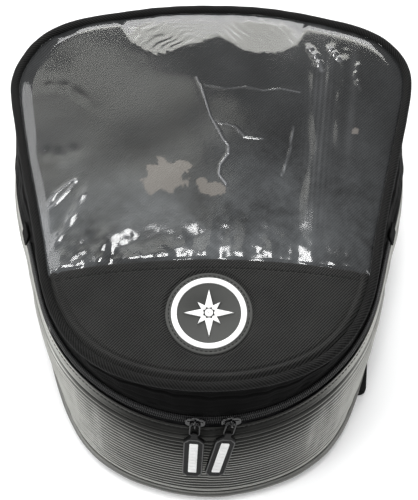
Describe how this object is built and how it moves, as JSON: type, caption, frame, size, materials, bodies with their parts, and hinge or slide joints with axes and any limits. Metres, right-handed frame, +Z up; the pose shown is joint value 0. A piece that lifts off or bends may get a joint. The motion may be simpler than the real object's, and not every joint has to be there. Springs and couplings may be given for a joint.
{
  "type": "motorcycle tank bag",
  "caption": "Shield-shaped soft bag with a clear map window in a zip-round lid and magnet wings that fold under its base.",
  "frame": {"origin": "on the surface that the bag rests on, under the middle of its outer box", "axes": "+Y towards the wide end, forward on the motorcycle; +Z up; +X to the right"},
  "size_m": [0.3538, 0.3994, 0.1819],
  "materials": {
    "base_vinyl": "matt grained vinyl",
    "board_plastic": "matt moulded sheet",
    "lining_cloth": "plain woven lining",
    "grip_rubber": "matt non-slip rubber",
    "piping_vinyl": "satin vinyl",
    "carbon_vinyl": "ribbed carbon-look vinyl with a soft sheen",
    "foam": "open foam",
    "gusset_cloth": "smooth tight black cloth",
    "twill_cloth": "black twill",
    "clear_pvc": "clear glossy soft sheet",
    "backing_cloth": "black twill behind the window",
    "piping_cloth": "black twill over a cord",
    "hook_and_loop": "hook and loop tape",
    "badge_rubber": "matt moulded rubber",
    "white_rubber": "matt white moulded rubber",
    "zip_coil": "nylon coil",
    "zip_tape": "woven zipper tape",
    "black_metal": "gloss black",
    "tab_rubber": "satin black rubber",
    "wing_cloth": "black cloth",
    "magnet_metal": "plated disc"
  },
  "bodies": {
    "bag": {"base_panel": "base_vinyl", "base_board": "board_plastic", "base_lining": "lining_cloth", "base_grip_sheet": "grip_rubber", "base_piping": "piping_vinyl", "wall_skin": "carbon_vinyl", "wall_foam": "foam", "wall_lining": "lining_cloth", "rear_wall_skin": "carbon_vinyl", "rear_wall_foam": "foam", "rear_wall_lining": "lining_cloth", "rear_gusset": "gusset_cloth", "left_gusset": "gusset_cloth", "right_gusset": "gusset_cloth", "window_rear": "clear_pvc", "lid_backing_rear": "backing_cloth", "lid_foam_rear": "foam", "lid_lining_rear": "lining_cloth", "lid_piping_rear": "piping_cloth", "map_pocket_loop_strip": "hook_and_loop", "map_pocket_hook_strip": "hook_and_loop", "lower_coil": "zip_coil", "lower_zip_tape": "zip_tape", "left_zip_end": "gusset_cloth", "right_zip_end": "gusset_cloth", "left_wing_anchor": "wing_cloth", "right_wing_anchor": "wing_cloth"},
    "lid": {"front_gusset": "gusset_cloth", "lid_front_panel": "twill_cloth", "window_front": "clear_pvc", "lid_backing_front": "backing_cloth", "lid_foam_front": "foam", "lid_lining_front": "lining_cloth", "lid_piping_front": "piping_cloth", "badge_disc": "badge_rubber", "badge_ring": "white_rubber", "badge_rose": "white_rubber", "upper_coil": "zip_coil", "upper_zip_tape": "zip_tape"},
    "left_slider": {"left_slider": "black_metal"},
    "left_link": {"left_pull_link": "black_metal"},
    "left_tab": {"left_pull_tab": "tab_rubber", "left_tab_print": "white_rubber"},
    "left_wing": {"left_wing": "wing_cloth", "left_wing_magnets": "magnet_metal"},
    "right_slider": {"right_slider": "black_metal"},
    "right_link": {"right_pull_link": "black_metal"},
    "right_tab": {"right_pull_tab": "tab_rubber", "right_tab_print": "white_rubber"},
    "right_wing": {"right_wing": "wing_cloth", "right_wing_magnets": "magnet_metal"}
  },
  "joints": [
    {"name": "lid_hinge", "type": "hinge", "parent": "bag", "child": "lid", "pos_m": [0, -0.01689, 0.1639], "axis": [-1, 0, 0], "range_deg": [0, 110], "deforming": ["upper_coil", "upper_zip_tape"]},
    {"name": "left_slider_travel", "type": "hinge", "parent": "bag", "child": "left_slider", "pos_m": [0, -0.023, 0.119], "axis": [0, 0.0872, -0.9962], "range_deg": [0, 67]},
    {"name": "left_link_swing", "type": "hinge", "parent": "left_slider", "child": "left_link", "pos_m": [-0.01092, -0.17131, 0.1077], "axis": [-0.9968, 0.0769, 0.0234], "range_deg": [0, 150]},
    {"name": "left_tab_swing", "type": "hinge", "parent": "left_link", "child": "left_tab", "pos_m": [-0.01151, -0.17558, 0.0965], "axis": [-0.9968, 0.0769, 0.0234], "range_deg": [0, 70]},
    {"name": "left_wing_fold", "type": "hinge", "parent": "bag", "child": "left_wing", "pos_m": [-0.131, -0.107, 0.0052], "axis": [-0.1219, 0.9925, 0], "range_deg": [0, 180]},
    {"name": "right_slider_travel", "type": "hinge", "parent": "bag", "child": "right_slider", "pos_m": [0, -0.023, 0.119], "axis": [0, -0.0872, 0.9962], "range_deg": [0, 64]},
    {"name": "right_link_swing", "type": "hinge", "parent": "right_slider", "child": "right_link", "pos_m": [0.01766, -0.17067, 0.10776], "axis": [-0.9625, -0.0498, 0.2668], "range_deg": [0, 150]},
    {"name": "right_tab_swing", "type": "hinge", "parent": "right_link", "child": "right_tab", "pos_m": [0.01491, -0.17522, 0.097], "axis": [-0.9625, -0.0498, 0.2668], "range_deg": [0, 70]},
    {"name": "right_wing_fold", "type": "hinge", "parent": "bag", "child": "right_wing", "pos_m": [0.1415, -0.107, 0.0052], "axis": [-0.1219, -0.9925, 0], "range_deg": [0, 180]}
  ]
}
